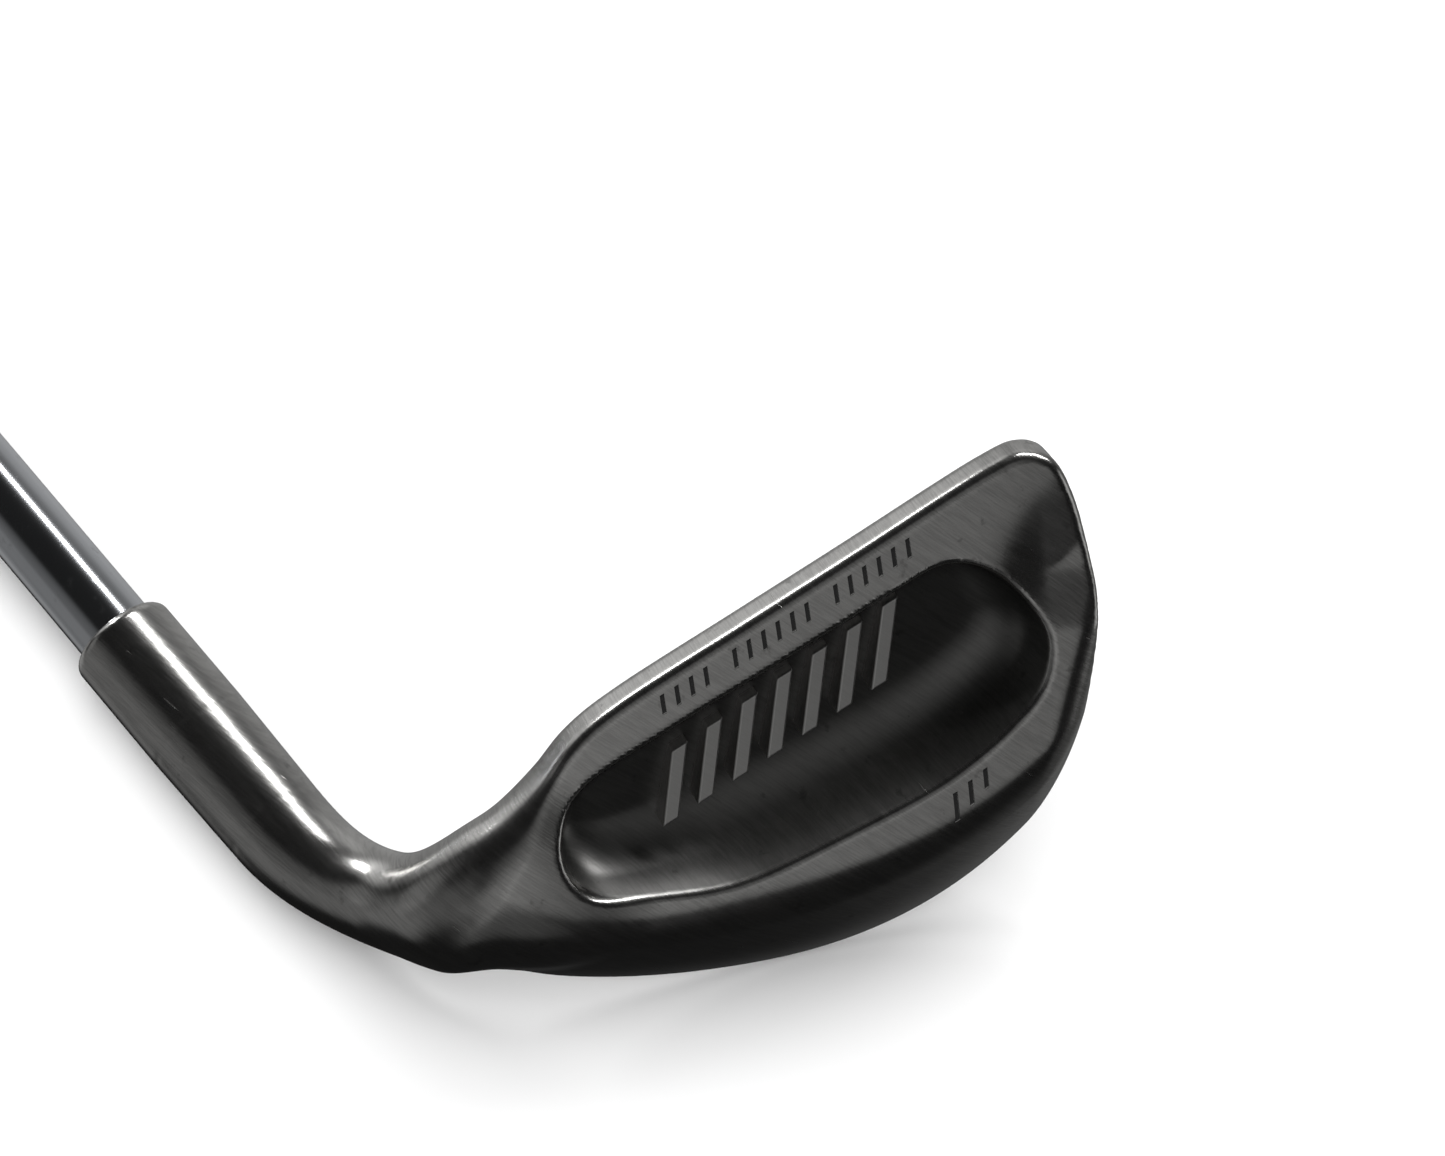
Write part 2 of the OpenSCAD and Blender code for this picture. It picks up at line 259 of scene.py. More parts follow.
def neck_distance(u, v, w):
    """Distance to the nearest oval of the neck, smoothed between one oval and the next."""
    shape = np.broadcast(u, v, w).shape
    found = np.full(shape, FAR)
    before = np.full(shape, FAR)
    after = np.full(shape, FAR)
    last = np.full(shape, FAR)
    grown = np.zeros(shape, bool)
    for centre, size in NECK_OVALS:
        x, y, z = u - centre[0], v - centre[1], w - centre[2]
        k = np.sqrt((x / size[0]) ** 2 + (y / size[1]) ** 2 + (z / size[2]) ** 2) + 1e-6
        g = np.sqrt((x / size[0] ** 2) ** 2 + (y / size[1] ** 2) ** 2 + (z / size[2] ** 2) ** 2)
        now = k * (k - 1) / (g + 1e-6)
        after = np.where(grown, now, after)
        grown = now < found
        before = np.where(grown, last, before)
        after = np.where(grown, FAR, after)
        found = np.where(grown, now, found)
        last = now
    bend = before - 2 * found + after
    ok = (before < FAR / 10) & (after < FAR / 10) & (bend > 1e-6)
    dip = np.where(ok, (before - after) ** 2 / (8 * np.where(ok, bend, 1)), 0)
    return found - np.minimum(dip, NECK_DIP)


def hosel_distances(u, v, w):
    """Distance to the hosel's outside, and to its bore."""
    z = w - AXIS_OFFSET
    t = u * SHAFT_UP[0] + v * SHAFT_UP[1] + z * SHAFT_UP[2]
    rho = np.sqrt(np.maximum(u ** 2 + v ** 2 + z ** 2 - t ** 2, 0))
    share = np.clip((t - NECK_FROM) / (BARREL_FOOT - NECK_FROM), 0, 1)
    outside = both(rho - HOSEL_R - (BARREL_R - HOSEL_R) * share, t - HOSEL_TOP, LIP_ROUND)
    bore = np.maximum(rho - BORE_R, BORE_FOOT - t)
    return both(outside, BARREL_FOOT - 4 - t, 4.0), bore


def toe_turn(u, v):
    """The rim turns away across the toe, beside the end of the cavity."""
    d = (u - TOE_TURN_AT[0]) * 0.62 - (v - TOE_TURN_AT[1]) * 0.78 + 0.6
    d = (d + np.sqrt(d ** 2 + 1.5)) / 2
    return TOE_TURN_SLOPE * np.minimum(d, 8) * ease((v - 40) / 7) * ease((u - 62) / 8)


def rim_distance(u, v, w, lowered=0.0):
    """Distance behind the rim's back plane."""
    return (w - rim_height(u, v) + lowered) / math.sqrt(1 + RIM_TAPER ** 2)


def blade_distance(u, v, w):
    """Distance to the blade without its cavity, with its edges rounder towards the heel."""
    heel = ease((15 - u) / 13)
    rim = rim_distance(u, v, w, toe_turn(u, v))
    body = both(blade_edge(u, v), rim, EDGE_ROUND + 3.0 * heel)
    body = both(body, -w, FACE_ROUND)
    body = both(body, sole_distance(u, v, w), SOLE_ROUND + 3.5 * heel)
    bevel = u * TOE_OUT[0] + v * TOE_OUT[1] + w * TOE_OUT[2] - TOE_AT @ TOE_OUT
    return both(body, bevel, BEVEL_ROUND)


def cavity_distance(u, v, w):
    """Distance to the cavity, with a softer corner round its floor towards the sole."""
    rise = (w - FACE_THICK) / np.maximum(rim_height(u, v) - FACE_THICK, 0.5)
    share = np.clip(rise, 0.0, 1.4) ** 0.6
    wall = floor_edge(u, v) * (1 - share) + rim_edge(u, v) * share
    from_top = (17.5 - u * ACROSS[0] - v * ACROSS[1]) / 9
    return both(wall, FACE_THICK - w, 0.8 + 3.4 * ease(from_top))


def solid_distance(u, v, w):
    """Distance to the head without its bore."""
    if np.min(u) > NECK_LIMIT:
        return both(blade_distance(u, v, w), -cavity_distance(u, v, w), CAVITY_ROUND)
    hosel, _ = hosel_distances(u, v, w)
    beyond_heel = 10 * ease((8 - u) / 14)
    neck = both(neck_distance(u, v, w), rim_distance(u, v, w), NECK_TOP_ROUND)
    neck = both(neck, sole_distance(u, v, w) - beyond_heel, NECK_SOLE_ROUND)
    fillet = 4.0 + 4.0 * ease((v - 6) / 8)
    head = np.minimum(either(blade_distance(u, v, w), neck, fillet), hosel)
    return both(head, -cavity_distance(u, v, w), CAVITY_ROUND)


def head_distance(u, v, w):
    _, bore = hosel_distances(u, v, w)
    return both(solid_distance(u, v, w), -bore, BORE_ROUND)


def on_points(points, distance=head_distance):
    """The distance at a list of points."""
    found = np.empty(len(points))
    far = points[:, 0] > NECK_LIMIT
    for part in (far, ~far):
        found[part] = distance(*points[part].T)
    return found


def slope(points, step=0.06):
    """Direction in which the head's distance grows."""
    parts = []
    for axis in np.eye(3) * step:
        parts.append((on_points(points + axis) - on_points(points - axis)) / (2 * step))
    return np.stack(parts, 1)


HEAD_LOW = np.array([-36.0, -9.0, -48.0])
HEAD_HIGH = np.array([79.0, 63.0, 23.0])
SLAB = 18


def head_surface():
    """Points and four-sided faces of the head, in the blade's frame."""
    counts = np.ceil((HEAD_HIGH - HEAD_LOW) / GRAIN).astype(int)
    u, v, w = [HEAD_LOW[i] + GRAIN * np.arange(counts[i]) for i in range(3)]
    field = np.empty(counts, np.float32)
    for i in range(0, counts[0], SLAB):
        row = u[i:i + SLAB, None, None]
        field[i:i + SLAB] = head_distance(row, v[None, :, None], w[None, None, :])
    grid = openvdb.FloatGrid(3.0)
    grid.copyFromArray(field)
    points, quads = grid.convertToQuads(isovalue=0.0)
    points = points.astype(float) * GRAIN + HEAD_LOW
    for _ in range(4):
        d, g = on_points(points), slope(points)
        move = (d / np.maximum((g ** 2).sum(1), 0.05))[:, None] * g
        size = np.linalg.norm(move, axis=1, keepdims=True)
        points -= move * np.minimum(1, 0.2 / np.maximum(size, 1e-9))
    return points, quads


# ---- mesh helpers ----

def mesh_object(name, points, faces):
    mesh = bpy.data.meshes.new(name)
    mesh.from_pydata([tuple(p) for p in points], [], [tuple(int(i) for i in f) for f in faces])
    mesh.validate()
    made = bpy.data.objects.new(name, mesh)
    bpy.context.scene.collection.objects.link(made)
    face_out(made)
    return made


def face_out(piece):
    """Turns all faces outwards."""
    shell = bmesh.new()
    shell.from_mesh(piece.data)
    bmesh.ops.recalc_face_normals(shell, faces=shell.faces)
    if shell.calc_volume(signed=True) < 0:
        bmesh.ops.reverse_faces(shell, faces=shell.faces)
    shell.to_mesh(piece.data)
    shell.free()


def smooth(piece, angle):
    """Smooth shading, with edges sharper than the angle kept."""
    piece.data.shade_smooth()
    piece.data.set_sharp_from_angle(angle=math.radians(angle))


def prisms(name, outlines, bottoms, tops):
    """One mesh of closed prisms: outlines in the blade's plane, with heights at each corner."""
    points, faces = [], []
    for outline, low, high in zip(outlines, bottoms, tops):
        n, base = len(outline), len(points)
        points += [(p[0], p[1], z) for p, z in zip(outline, low)]
        points += [(p[0], p[1], z) for p, z in zip(outline, high)]
        faces.append([base + i for i in range(n)][::-1])
        faces.append([base + n + i for i in range(n)])
        for i in range(n):
            j = (i + 1) % n
            faces.append([base + i, base + j, base + n + j, base + n + i])
    return mesh_object(name, from_blade(points), faces)


def carve(piece, cutter):
    """Takes the cutter out of the piece and removes it."""
    cut = piece.modifiers.new("cut", "BOOLEAN")
    cut.operation = "DIFFERENCE"
    cut.solver = "EXACT"
    cut.object = cutter
    view = bpy.context.evaluated_depsgraph_get()
    done = bpy.data.meshes.new_from_object(piece.evaluated_get(view))
    piece.modifiers.clear()
    piece.data = done
    bpy.data.objects.remove(cutter)


def lathe(name, profile, steps=128):
    """Turned part: profile of (radius or radii, height up the shaft), closed from end to end."""
    side = AXES[:, 2] - (AXES[:, 2] @ SHAFT_AXIS) * SHAFT_AXIS
    side /= np.linalg.norm(side)
    turn = np.cross(SHAFT_AXIS, side)
    angles = 2 * math.pi * np.arange(steps) / steps
    ring = np.cos(angles)[:, None] * side + np.sin(angles)[:, None] * turn
    points = []
    for r, t in profile:
        points.append(SHAFT_ZERO + SHAFT_AXIS * t + ring * np.reshape(r, (-1, 1)))
    faces = []
    rows = len(profile)
    for k in range(rows):
        here, there = k * steps, (k + 1) % rows * steps
        for i in range(steps):
            j = (i + 1) % steps
            faces.append([here + i, here + j, there + j, there + i])
    return mesh_object(name, np.concatenate(points) * MM, faces)


# ---- head ----

def place_on_blade(a, b):
    """Point of the blade from its distances along and across the topline."""
    return ALONG * a + ACROSS * b


GROOVE_COUNT = 11
GROOVE_FIRST = 2.6
GROOVE_PITCH = 3.6
GROOVE_WIDTH = 0.8
GROOVE_DEPTH = 0.38
GROOVE_END = 61


def groove_cutter():
    """The score lines of the face: eleven grooves with pointed ends."""
    outlines, bottoms, tops = [], [], []
    half = GROOVE_WIDTH / 2
    depths = [0.1, GROOVE_DEPTH, GROOVE_DEPTH] * 2
    for i in range(GROOVE_COUNT):
        v = GROOVE_FIRST + i * GROOVE_PITCH
        start = max(14.5, TOPLINE_MARK[0] + (v + 5 - TOPLINE_MARK[1]) / math.tan(TOPLINE_ANGLE))
        outlines.append([(start, v + half), (start + 0.5, v), (GROOVE_END - 0.5, v),
                         (GROOVE_END, v + half), (GROOVE_END - 0.5, v + GROOVE_WIDTH),
                         (start + 0.5, v + GROOVE_WIDTH)])
        bottoms.append([-0.3] * 6)
        tops.append(depths)
    return prisms("grooves", outlines, bottoms, tops)


def slanted(a, b, length, width, slant):
    """Corners of a slanted bar around a point given along and across the topline."""
    up = np.array([slant, 1.0]) / math.hypot(slant, 1.0) * length / 2
    corners = []
    for sx, sy in ((-1, -1), (1, -1), (1, 1), (-1, 1)):
        corners.append(place_on_blade(a + sx * width / 2 + sy * up[0], b + sy * up[1]))
    return corners


DASH_COUNT = 18
DASH_GAPS = (4, 11)
DASH_ROW = 21.25
DASH_DEPTH = 0.35


def mark_cutter():
    """Plain slanted dashes engraved along the rim above the cavity, and three near the toe."""
    outlines = []
    for i in range(DASH_COUNT):
        if i not in DASH_GAPS:
            outlines.append(slanted(40.2 + i * 1.85, DASH_ROW, 2.1, 0.55, 0.45))
    for i in range(3):
        outlines.append(slanted(61.2 + i * 2.2, -4.7 + i * 0.45, 3.2 - 0.5 * i, 0.6, 0.5))
    bottoms, tops = [], []
    for outline in outlines:
        level = [rim_height(*p) - toe_turn(*p) for p in outline]
        bottoms.append([z - DASH_DEPTH for z in level])
        tops.append([z + 0.6 for z in level])
    return prisms("dashes", outlines, bottoms, tops)


BAR_COUNT = 7
BAR_FIRST = 36.5
BAR_PITCH = 4.6
BAR_WIDTH = 2.1
BAR_SLANT = 0.8


def raised_marks():
    """Slanted bars that stand on the cavity's floor."""
    outlines = []
    for i in range(BAR_COUNT):
        a, b, length = BAR_FIRST + i * BAR_PITCH, 11.9 + 0.12 * i, 8.6 + 0.15 * i
        outlines.append(slanted(a, b, length, BAR_WIDTH, BAR_SLANT))
    bottoms = [[FACE_THICK - 0.4] * 4 for _ in outlines]
    tops = []
    for outline in outlines:
        tops.append([FACE_THICK + 1.2 + 0.27 * (17 - ACROSS @ np.array(p)) for p in outline])
    made = prisms("cavity_marks", outlines, bottoms, tops)
    bevel = made.modifiers.new("edges", "BEVEL")
    bevel.width = 0.22 * MM
    bevel.segments = 3
    bevel.limit_method = "ANGLE"
    return made


def paint_finish(piece):
    """Stores where the head is hollow, where it is inked, and where it is at an edge; the edges are
    painted brighter, partly as wear and partly as a painted highlight.
    """
    mesh = piece.data
    places = np.empty(len(mesh.vertices) * 3)
    mesh.vertices.foreach_get("co", places)
    p = (places.reshape(-1, 3) / MM - ORIGIN) @ AXES
    u, v, w = p.T
    deep = rim_height(u, v) - toe_turn(u, v) - w
    hollow = np.clip(0.6 - cavity_distance(u, v, w) * 3, 0, 1) * np.clip((deep - 0.25) / 0.5, 0, 1)
    a, b = u * ALONG[0] + v * ALONG[1], u * ACROSS[0] + v * ACROSS[1]
    near = (np.abs(b - DASH_ROW) < 1.3) & (np.abs(a - 56) < 17.6)
    near |= (np.abs(b + 4.2) < 2.4) & (np.abs(a - 63.7) < 3.9)
    ink = np.clip(-on_points(p) * 12 - 0.6, 0, 1) * near
    g = slope(p)
    g /= np.maximum(np.linalg.norm(g, axis=1, keepdims=True), 1e-6)
    # Nearness to an edge: where the steel is painted brighter, partly wear and partly a painted
    # highlight.
    edge = np.clip(1 + on_points(p - 0.9 * g, solid_distance) / 0.9, 0, 1)
    values = np.stack([hollow, ink, edge, np.ones(len(p))], 1).astype(np.float32)
    layer = mesh.attributes.new("finish", "FLOAT_COLOR", "POINT")
    layer.data.foreach_set("color", values.ravel())


def make_head():
    points, quads = head_surface()
    head = mesh_object("forged_head", from_blade(points), quads)
    carve(head, groove_cutter())
    carve(head, mark_cutter())
    smooth(head, 50)
    paint_finish(head)
    return head


# ---- shader values ----

class Term:
    """A shader value that can be written into sums."""

    def __init__(self, maker, socket):
        self.maker = maker
        self.socket = socket

    def math(self, operation, a, b):
        return self.maker.node("Math", {"operation": operation}, {0: a, 1: b})

    def __add__(self, other):
        return self.math("ADD", self, other)

    def __sub__(self, other):
        return self.math("SUBTRACT", self, other)

    def __rsub__(self, other):
        return self.math("SUBTRACT", other, self)

    def __mul__(self, other):
        return self.math("MULTIPLY", self, other)

    __radd__ = __add__
    __rmul__ = __mul__


class Finish:
    """A material, or the light around the scene, as it is put together."""

    def __init__(self, holder):
        self.holder = holder
        holder.use_nodes = True
        self.tree = holder.node_tree
        self.tree.nodes.clear()

    def node(self, kind, settings, sockets, out=0):
        made = self.tree.nodes.new("ShaderNode" + kind)
        for key, value in settings.items():
            if key == "stops":
                ramp = made.color_ramp
                while len(ramp.elements) < len(value):
                    ramp.elements.new(0.5)
                for stop, (where, shade) in zip(ramp.elements, value):
                    stop.position = where
                    stop.color = shade
            else:
                setattr(made, key, value)
        for key, value in sockets.items():
            if isinstance(value, Term):
                self.tree.links.new(value.socket, made.inputs[key])
            else:
                made.inputs[key].default_value = value
        return Term(self, made.outputs[out]) if len(made.outputs) else None

    def step(self, value, low, high):
        """0 below low, 1 above high, and smooth between them."""
        return self.node("MapRange", {"interpolation_type": "SMOOTHSTEP"},
                         {"Value": value, "From Min": low, "From Max": high})

    def blend(self, share, a, b):
        """Colour between a and b."""
        return self.node("Mix", {"data_type": "RGBA"}, {0: share, 6: a, 7: b}, 2)

    def place(self):
        return self.node("TexCoord", {}, {}, "Object")

    def painted(self, name):
        """The three values stored with the mesh under a name."""
        colour = self.node("Attribute", {"attribute_name": name}, {}, "Color")
        first = self.node("SeparateColor", {}, {0: colour})
        return [Term(self, first.socket.node.outputs[i]) for i in range(3)]

    def along(self, place, direction):
        """Distance along a direction, in mm."""
        return self.node("VectorMath", {"operation": "DOT_PRODUCT"},
                         {0: place, 1: tuple(np.asarray(direction, float) / MM)}, 1)

    def vector(self, x, y, z):
        return self.node("CombineXYZ", {}, {0: x, 1: y, 2: z})

    def noise(self, vector, scale, detail=3.0, rough=0.55):
        return self.node("TexNoise", {}, {"Vector": vector, "Scale": scale, "Detail": detail,
                                          "Roughness": rough}, "Fac")

    def surface(self, sockets, height=None, rise=0.0):
        """The finished surface, with fine relief of the given height in mm."""
        if height is not None:
            sockets["Normal"] = self.node("Bump", {}, {"Height": height, "Distance": rise * MM,
                                                       "Strength": 1.0})
        shader = self.node("BsdfPrincipled", {}, sockets)
        self.node("OutputMaterial", {}, {"Surface": shader})
        return self.holder


def finish(name):
    return Finish(bpy.data.materials.new(name))


U_AXIS, V_AXIS, W_AXIS = AXES.T
BRUSH_ANGLE = math.radians(-38)
BRUSH_ALONG = U_AXIS * math.cos(BRUSH_ANGLE) + V_AXIS * math.sin(BRUSH_ANGLE)
BRUSH_ACROSS = V_AXIS * math.cos(BRUSH_ANGLE) - U_AXIS * math.sin(BRUSH_ANGLE)


def brushed(maker):
    """Fine brush lines that run down the blade, as a value from 0 to 1."""
    place = maker.place()
    across = maker.along(place, BRUSH_ACROSS)
    down = maker.along(place, BRUSH_ALONG)
    deep = maker.along(place, W_AXIS)
    fine = maker.noise(maker.vector(across * 5.0, down * 0.35, deep * 0.35), 1.0, 4.0, 0.6)
    broad = maker.noise(maker.vector(across * 0.9, down * 0.12, deep * 0.12), 1.0, 2.0)
    return fine * 0.65 + broad * 0.35


def head_steel():
    """Satin steel with stains and scratches, edges painted brighter as wear and as a painted
    highlight, darker in the cavity, with inked marks.
    """
    maker = finish("head_steel")
    place = maker.place()
    lines = brushed(maker)
    cloud = maker.noise(place, 90.0, 4.0)
    grime = maker.noise(place, 420.0, 5.0, 0.6)
    hollow, ink, worn = maker.painted("finish")
    grain = maker.noise(place, 5200.0, 2.0)
    satin = maker.step(lines, 0.36, 0.62) * 0.7 + grain * 0.3
    bright = maker.blend(satin, (0.40, 0.396, 0.386, 1), (0.55, 0.545, 0.53, 1))
    stained = maker.blend(maker.step(grime, 0.62, 0.74) * 0.45, bright, (0.12, 0.118, 0.112, 1))
    across = maker.along(place, BRUSH_ACROSS)
    down = maker.along(place, BRUSH_ALONG)
    streaks = maker.noise(maker.vector(across * 2.2, down * 0.16, 0.0), 1.0, 2.0)
    scratch = maker.step(streaks, 0.735, 0.76)
    # Edges painted brighter in streaks: partly rubbed wear, partly a painted highlight along the
    # ridge.
    rubbed = maker.step(maker.noise(place, 160.0, 3.0), 0.38, 0.6)
    edge = maker.step(worn, 0.25, 0.6) * (0.25 + rubbed * 0.75)
    glint = maker.blend(maker.step(lines, 0.35, 0.6), (0.42, 0.415, 0.40, 1), (0.86, 0.85, 0.83, 1))
    polish_and_painted_glint = maker.blend(edge, stained, glint)
    dark = maker.blend(cloud, (0.024, 0.0235, 0.0225, 1), (0.045, 0.044, 0.042, 1))
    inside = maker.blend(hollow, polish_and_painted_glint, dark)
    colour = maker.blend(ink, inside, (0.012, 0.012, 0.012, 1))
    rough = 0.15 + lines * 0.09 + cloud * 0.06 + hollow * 0.32 + ink * 0.2 + scratch * 0.12
    return maker.surface({"Base Color": colour, "Metallic": 1 - ink * 0.9, "Roughness": rough},
                         lines * (1 + edge * 7) + grime * 0.3 - scratch * 0.6, 0.014)


def mark_steel_painted_lighter():
    """Brushed steel of the raised bars, painted lighter than the head's steel as a painted highlight
    for the light their tops catch.
    """
    maker = finish("mark_steel_painted_lighter")
    lines = brushed(maker)
    # Lighter base colour than the head's steel: a painted highlight on the bars.
    colour = maker.blend(lines, (0.5, 0.495, 0.48, 1), (0.72, 0.715, 0.7, 1))
    return maker.surface({"Base Color": colour, "Metallic": 1.0, "Roughness": 0.3 + lines * 0.15},
                         lines, 0.01)


def shaft_chrome():
    """Bright plating with a little haze."""
    maker = finish("shaft_chrome")
    place = maker.place()
    cloud = maker.noise(place, 60.0, 3.0)
    haze = maker.step(maker.noise(place, 700.0, 4.0), 0.6, 0.75)
    colour = maker.blend(cloud, (0.66, 0.68, 0.71, 1), (0.74, 0.76, 0.79, 1))
    dull = maker.blend(haze * 0.3, colour, (0.4, 0.41, 0.42, 1))
    return maker.surface({"Base Color": dull, "Metallic": 1.0,
                          "Roughness": 0.12 + cloud * 0.05 + haze * 0.08})


def soft_rubber(name, dark, light, rough):
    """Matte rubber with a fine grain and some dust."""
    maker = finish(name)
    place = maker.place()
    fine = maker.noise(place, 2600.0, 2.0)
    dust = maker.noise(place, 70.0, 4.0)
    colour = maker.blend(maker.step(dust, 0.35, 0.75), dark, light)
    return maker.surface({"Base Color": colour, "Roughness": rough + fine * 0.15,
                          "Specular IOR Level": 0.35}, fine, 0.03)


def plain_finish(name, dark, light, rough, metal=0.0, scale=300.0):
    """A finish whose colour and gloss wander a little."""
    maker = finish(name)
    cloud = maker.noise(maker.place(), scale, 4.0)
    return maker.surface({"Base Color": maker.blend(cloud, dark, light), "Metallic": metal,
                          "Roughness": rough + cloud * 0.12}, cloud, 0.01)


# ---- shaft and grip ----

TIP_R = 4.7
BUTT_R = 7.62
SHAFT_FROM = 28.7
SHAFT_TO = SHAFT_FROM + 875
TIP_LENGTH = 230
STEPS = 13
STEP_LENGTH = 28
STEP_CONE = 1.2
BUTT_WALL = 0.35
TIP_WALL = 0.6
GRIP_LENGTH = 262
GRIP_FROM = SHAFT_TO - GRIP_LENGTH


def shaft_profile():
    """Radius and height of the shaft's outside and, back down, of its inside."""
    rise = (BUTT_R - TIP_R) / STEPS
    out = [(TIP_R, SHAFT_FROM)]
    for i in range(STEPS):
        r, t = TIP_R + i * rise, SHAFT_FROM + TIP_LENGTH + i * STEP_LENGTH
        for k in np.linspace(0, 1, 7):
            out.append((r + rise * ease(k), t + STEP_CONE * k))
        out.append((r + rise, t + STEP_CONE + 1.0))
        out.append((r + rise, t + STEP_LENGTH - 1.0))
    out.append((BUTT_R, SHAFT_TO))
    inside = [(BUTT_R - BUTT_WALL, SHAFT_TO), (BUTT_R - BUTT_WALL, SHAFT_TO - 250),
              (TIP_R - TIP_WALL, SHAFT_FROM + TIP_LENGTH), (TIP_R - TIP_WALL, SHAFT_FROM)]
    return out + inside


TAPE_R = 7.82
GRIP_OUTSIDE = [(0, 8.17), (2.5, 8.7), (131, 10.3), (212, 11.6), (GRIP_LENGTH, 12.8)]
GRIP_STEPS = 132
GRIP_ROWS = 500
GRIP_GROOVE = 0.5
GRIP_BANDS = (96, 172)
GRIP_RINGS = (6, 9, 12, 15, 252, 255)
CAP_R = 14.2
CAP_THICK = 3.2
CAP_SKIN = 0.02
VENT_R = 1.5


def grip_piece():
    """Moulded grip: crossed grooves between plain bands, and rings at its ends."""
    turn = np.arange(GRIP_STEPS) / GRIP_STEPS
    heights = np.linspace(0, GRIP_LENGTH, GRIP_ROWS)
    radii = np.interp(heights, *np.array(GRIP_OUTSIDE).T)
    radii = np.convolve(np.pad(radii, 6, "edge"), np.ones(13) / 13, "valid")
    profile = []
    for t, r in zip(heights, radii):
        field = ease((t - 20) / 1.5) * ease((248 - t) / 1.5)
        field *= 1 - sum(ease((3.5 - abs(t - where)) / 1.2) for where in GRIP_BANDS)
        depth = np.zeros(GRIP_STEPS)
        for way in (1, -1):
            wave = (turn * 12 + way * t / 7.0) % 1.0
            depth = np.maximum(depth, ease((0.16 - np.abs(wave - 0.5)) / 0.08))
        rings = max(ease((0.8 - abs(t - where)) / 0.5) for where in GRIP_RINGS)
        profile.append((r - 0.12 - GRIP_GROOVE * depth * field - 0.45 * rings, GRIP_FROM + t))
    profile[0] = (radii[0] - 0.4, GRIP_FROM)
    profile += [(TAPE_R, SHAFT_TO), (TAPE_R, GRIP_FROM)]
    made = lathe("moulded_grip", profile, GRIP_STEPS)
    smooth(made, 60)
    return made


def cap_piece():
    """Cap of the grip, with rounded edges, a ring round its vent and the vent itself."""
    profile = [(VENT_R, SHAFT_TO), (CAP_R - 0.6, SHAFT_TO)]
    for angle in np.radians(np.arange(0, 91, 15)):
        profile.append((CAP_R - 0.5 + 0.5 * math.sin(angle), SHAFT_TO + 0.6 - 0.5 * math.cos(angle)))
    top = SHAFT_TO + CAP_THICK - CAP_SKIN
    for angle in np.radians(np.arange(0, 91, 9)):
        profile.append((CAP_R - 1.4 + 1.4 * math.cos(angle), top - 1.4 + 1.4 * math.sin(angle)))
    for r, drop in ((11.2, 0), (10.9, 0.1), (10.6, 0.5), (10.0, 0.5), (9.7, 0.1), (9.4, 0),
                    (4.2, 0), (3.9, 0.1), (3.7, 0.35), (2.2, 0.35), (1.8, 0.45), (VENT_R, 0.8)):
        profile.append((r, top - drop))
    made = lathe("grip_end", profile, 96)
    smooth(made, 50)
    return made


def own(piece, node, material):
    """Gives a piece its finish, hangs it on the root body and hides the CAD node that it stands for.
    """
    piece.data.materials.clear()
    piece.data.materials.append(material)
    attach(piece, "root")
    if node:
        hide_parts(node)


steel = head_steel()
head = make_head()
own(head, "club_head", steel)
own(raised_marks(), None, mark_steel_painted_lighter())
tube = lathe("stepped_shaft", shaft_profile())
smooth(tube, 40)
own(tube, "shaft", shaft_chrome())

own(grip_piece(), "grip",
    soft_rubber("grip_rubber", (0.022, 0.022, 0.024, 1), (0.04, 0.04, 0.043, 1), 0.6))
own(cap_piece(), "grip_cap",
    soft_rubber("cap_rubber", (0.018, 0.018, 0.02, 1), (0.034, 0.034, 0.036, 1), 0.5))

SHOWN = {
    "hosel_epoxy": plain_finish("epoxy", (0.5, 0.44, 0.26, 1), (0.64, 0.58, 0.38, 1), 0.25),
    "tip_weight": plain_finish("weight_brass", (0.62, 0.44, 0.2, 1), (0.76, 0.57, 0.28, 1), 0.25, 1.0),
    "shaft_band": plain_finish("band_plastic", (0.05, 0.052, 0.06, 1), (0.075, 0.078, 0.088, 1), 0.3),
    "grip_tape": plain_finish("tape", (0.66, 0.56, 0.38, 1), (0.76, 0.66, 0.48, 1), 0.7),
}
for name, material in SHOWN.items():
    mesh = frame["nodes"][name].data
    mesh.materials.clear()
    mesh.materials.append(material)


# ---- studio: floor, light and camera ----

FOCUS = Vector((0.4212, 0.0217, 0.0178))


def make_floor():
    """Plain pale floor that lights the rubber but isn't mirrored in the metal."""
    reach = 6.0
    corners = [(-reach, -reach, 0), (reach, -reach, 0), (reach, reach, 0), (-reach, reach, 0)]
    floor = mesh_object("floor", corners, [(0, 1, 2, 3)])
    maker = finish("pale_floor")
    shade = maker.noise(maker.place(), 3.0)
    colour = maker.blend(shade, (0.84, 0.84, 0.84, 1), (0.86, 0.86, 0.86, 1))
    floor.data.materials.append(maker.surface({"Base Color": colour, "Roughness": 0.9}))
    floor.visible_glossy = False


def soft_light(name, direction, size, power):
    """Area light that shines at the head from a direction, one metre away."""
    lamp = bpy.data.lights.new(name, "AREA")
    lamp.shape = "RECTANGLE"
    lamp.size, lamp.size_y = size
    lamp.energy = power
    made = bpy.data.objects.new(name, lamp)
    away = Vector(direction).normalized()
    made.location = FOCUS + away
    made.rotation_euler = away.to_track_quat("Z", "Y").to_euler()
    made.visible_camera = False
    bpy.context.scene.collection.objects.link(made)


def daylight():
    """Broad light from above for the floor and the rubber, which the metal doesn't mirror."""
    lamp = bpy.data.lights.new("daylight", "SUN")
    lamp.energy = 3.5
    lamp.angle = math.radians(75)
    made = bpy.data.objects.new("daylight", lamp)
    made.rotation_euler = (math.radians(8), math.radians(-6), 0)
    made.visible_glossy = False
    bpy.context.scene.collection.objects.link(made)
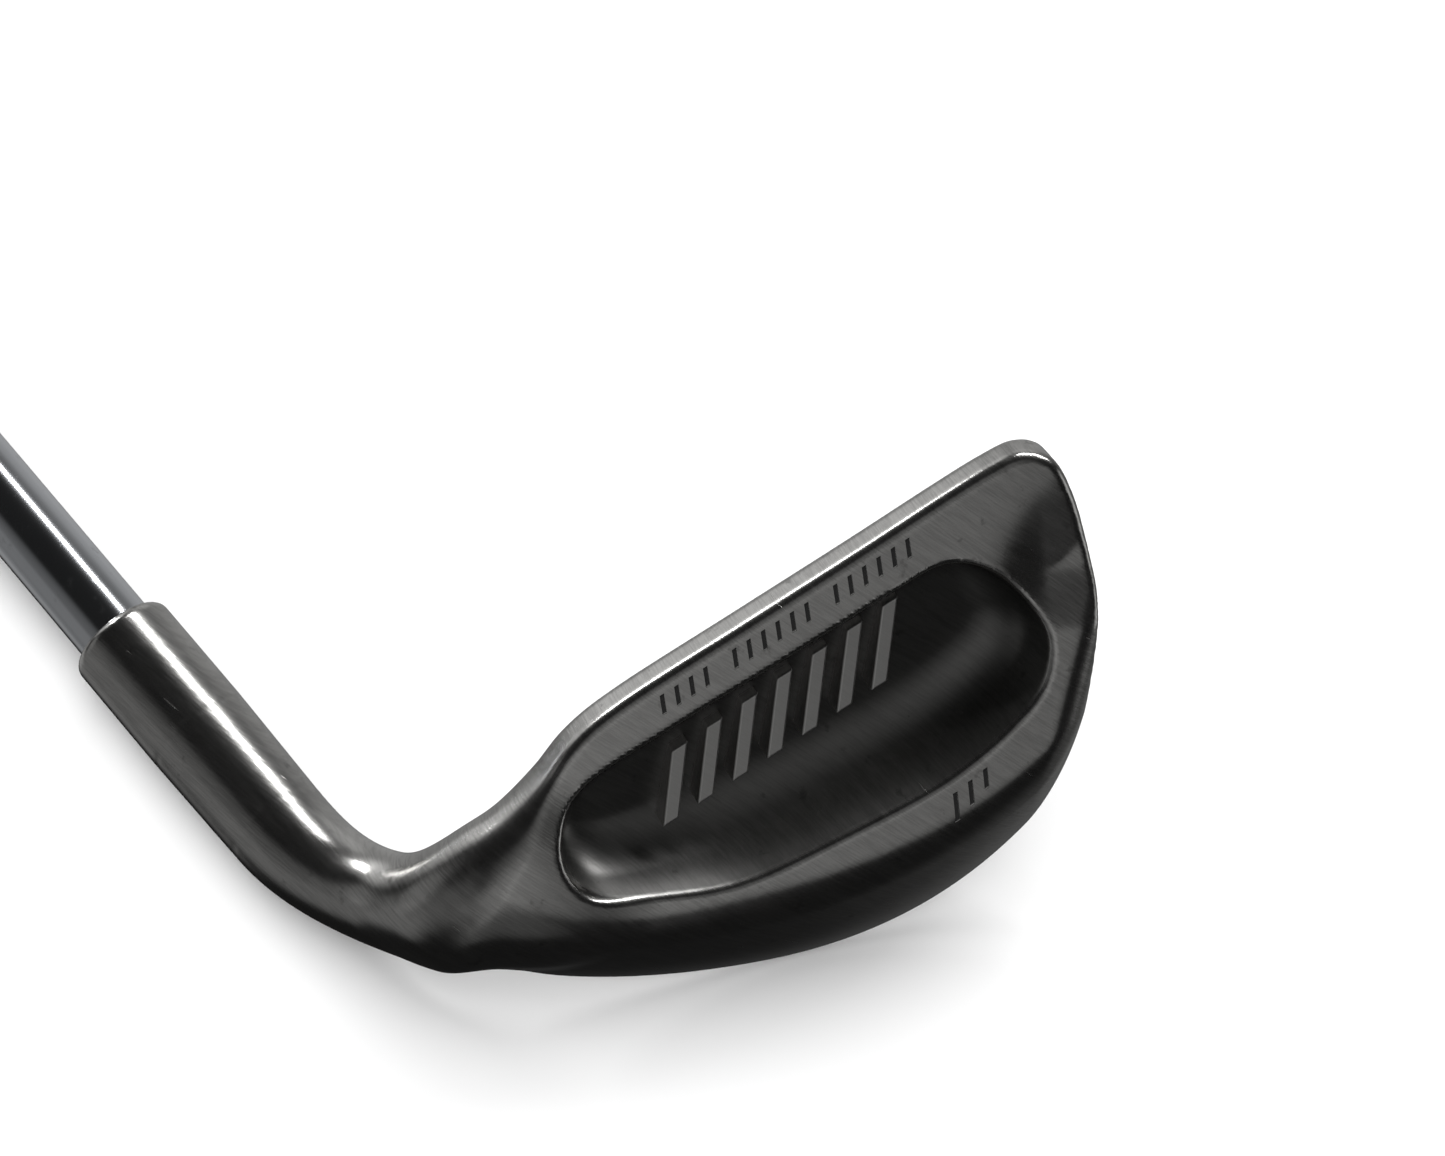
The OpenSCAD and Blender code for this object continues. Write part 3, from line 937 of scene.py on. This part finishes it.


# Soft patches of light in the dim room: direction, the cosines of the angles from it where the patch
# ends and where it is full, and strength. This table wasn't laid out by hand. Most of its rows are the
# output of a least-squares fit made outside this script, and a room laid out by hand should take its
# place.
FITTED_PATCHES = [
    ((-0.79, 0.55, -0.28), 0.57, 0.966, 0.32),
    ((0.55, 0.72, -0.43), 0.57, 0.966, 0.06),
    ((-0.10, 0.82, -0.57), 0.57, 0.966, 0.10),
    ((-0.33, -0.91, -0.23), 0.883, 0.997, 0.18),
    ((0.48, -0.61, 0.63), 0.883, 0.997, 0.13),
    ((-0.22, 0.94, 0.28), 0.883, 0.997, 0.08),
    ((-0.15, -0.92, 0.35), 0.883, 0.997, 0.11),
    ((0.25, -0.37, 0.90), 0.883, 0.997, 0.13),
    ((-0.99, -0.01, 0.10), 0.883, 0.997, 0.60),
    ((-0.65, -0.45, -0.62), 0.883, 0.997, 0.39),
    ((-0.12, 0.83, 0.54), 0.883, 0.997, 0.05),
    ((0.45, -0.76, 0.47), 0.883, 0.997, 0.11),
    ((0.70, -0.36, 0.61), 0.93, 0.975, 0.16),
    ((0.68, 0.72, 0.10), 0.94, 0.985, 0.60),
    ((0.68, -0.72, 0.10), 0.93, 0.985, 0.08),
    ((-0.68, -0.72, 0.15), 0.93, 0.985, 0.20),
    ((-0.68, 0.72, 0.15), 0.94, 0.985, 0.20)]
ROOM_DARK = 0.013
BACKDROP = 0.9


def make_world():
    """Dim room with soft patches of light, which only the metal mirrors."""
    world = bpy.data.worlds.new("studio")
    bpy.context.scene.world = world
    maker = Finish(world)
    way = maker.node("TexCoord", {}, {}, "Generated")
    light = ROOM_DARK
    for direction, start, full, strength in FITTED_PATCHES:
        d = Vector(direction).normalized()
        share = maker.node("VectorMath", {"operation": "DOT_PRODUCT"}, {0: way, 1: tuple(d)}, 1)
        light = light + maker.step(share, start, full) * strength
    seen = maker.node("LightPath", {}, {}, "Is Camera Ray")
    strength = seen * BACKDROP + (1 - seen) * light
    back = maker.node("Background", {}, {"Color": (1, 1, 1, 1), "Strength": strength})
    maker.node("OutputWorld", {}, {"Surface": back})


def make_camera():
    """Camera above the sole's side of the head, looking down at the cavity."""
    lens = bpy.data.cameras.new("camera")
    lens.lens = 85
    lens.sensor_width = 36
    lens.clip_start = 0.01
    camera = bpy.data.objects.new("camera", lens)
    right = Vector((0.6503, 0.7538, 0.0939))
    back = Vector((0.2837, -0.3556, 0.8905)).normalized()
    right = (right - right.dot(back) * back).normalized()
    turned = Matrix((right, back.cross(right), back)).transposed().to_4x4()
    turned.translation = Vector((0.53376, -0.11939, 0.37111))
    camera.matrix_world = turned
    bpy.context.scene.collection.objects.link(camera)
    bpy.context.scene.camera = camera


make_floor()
make_world()
daylight()
soft_light("strip_light", (-0.27, 0.64, 0.72), (0.9, 0.09), 5.2)
soft_light("ridge_light", (-0.93, 0.0, 0.36), (0.25, 0.12), 1.7)
make_camera()
bpy.context.scene.view_settings.view_transform = "Standard"
